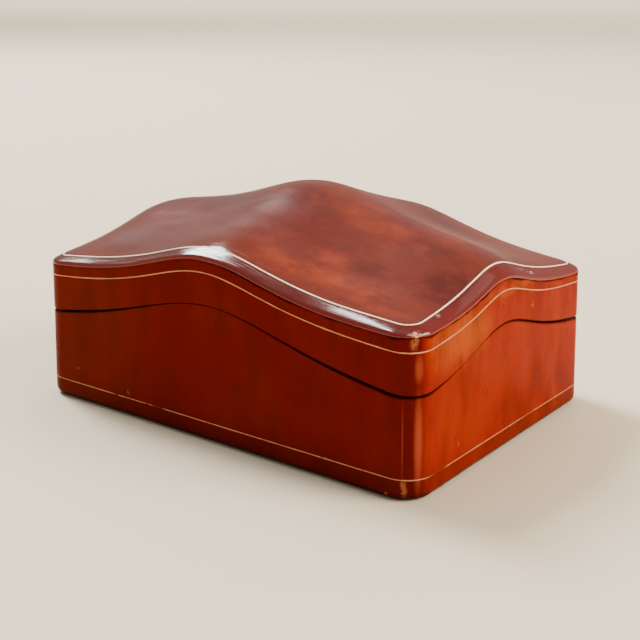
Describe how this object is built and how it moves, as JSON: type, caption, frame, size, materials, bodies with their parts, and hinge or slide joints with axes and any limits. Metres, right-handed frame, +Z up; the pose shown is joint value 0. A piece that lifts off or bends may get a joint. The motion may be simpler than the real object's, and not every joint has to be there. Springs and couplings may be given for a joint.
{
  "type": "stationery box",
  "caption": "Leather-covered wooden box for papers with a hinged lid, its top drawn up into a soft peak and its rims rising in waves, edged with cream tooled lines.",
  "frame": {"origin": "under the middle of the base, on the face that the box rests on", "axes": "+X along the length, to the right seen from the front; +Y from the front to the hinged back; +Z up"},
  "size_m": [0.3052, 0.2204, 0.1514],
  "materials": {
    "side_leather": "polished vegetable-tanned leather, oxblood to chestnut",
    "top_leather": "polished maroon leather, slightly mottled and dusty",
    "tooled_line": "thin cream line tooled into the leather",
    "poplar": "planed poplar, unfinished",
    "suede": "brown suede lining",
    "baize": "dark green baize",
    "brass": "polished brass, slightly dulled"
  },
  "bodies": {
    "base": {"underside_baize": "baize", "bottom_board": "poplar", "base_front_wall": "poplar", "base_back_wall": "poplar", "base_left_wall": "poplar", "base_right_wall": "poplar", "base_leather": "side_leather", "foot_line": "tooled_line", "floor_lining": "suede", "base_front_lining": "suede", "base_back_lining": "suede", "base_left_lining": "suede", "base_right_lining": "suede", "left_hinge_base_leaf": "brass", "left_hinge_pin": "brass", "right_hinge_base_leaf": "brass", "right_hinge_pin": "brass", "base_leaf_screws": "brass"},
    "lid": {"lid_dome_board": "poplar", "lid_front_rail": "poplar", "lid_back_rail": "poplar", "lid_left_rail": "poplar", "lid_right_rail": "poplar", "lid_top_leather": "top_leather", "lid_side_leather": "side_leather", "lid_side_line": "tooled_line", "lid_top_line": "tooled_line", "lid_ceiling_lining": "suede", "lid_front_lining": "suede", "lid_back_lining": "suede", "lid_left_lining": "suede", "lid_right_lining": "suede", "left_hinge_lid_leaf": "brass", "right_hinge_lid_leaf": "brass", "lid_leaf_screws": "brass"}
  },
  "joints": [
    {"name": "lid_hinge", "type": "hinge", "parent": "base", "child": "lid", "pos_m": [0, 0.11025, 0.06454], "axis": [-1, 0, 0], "range_deg": [0, 100]}
  ]
}
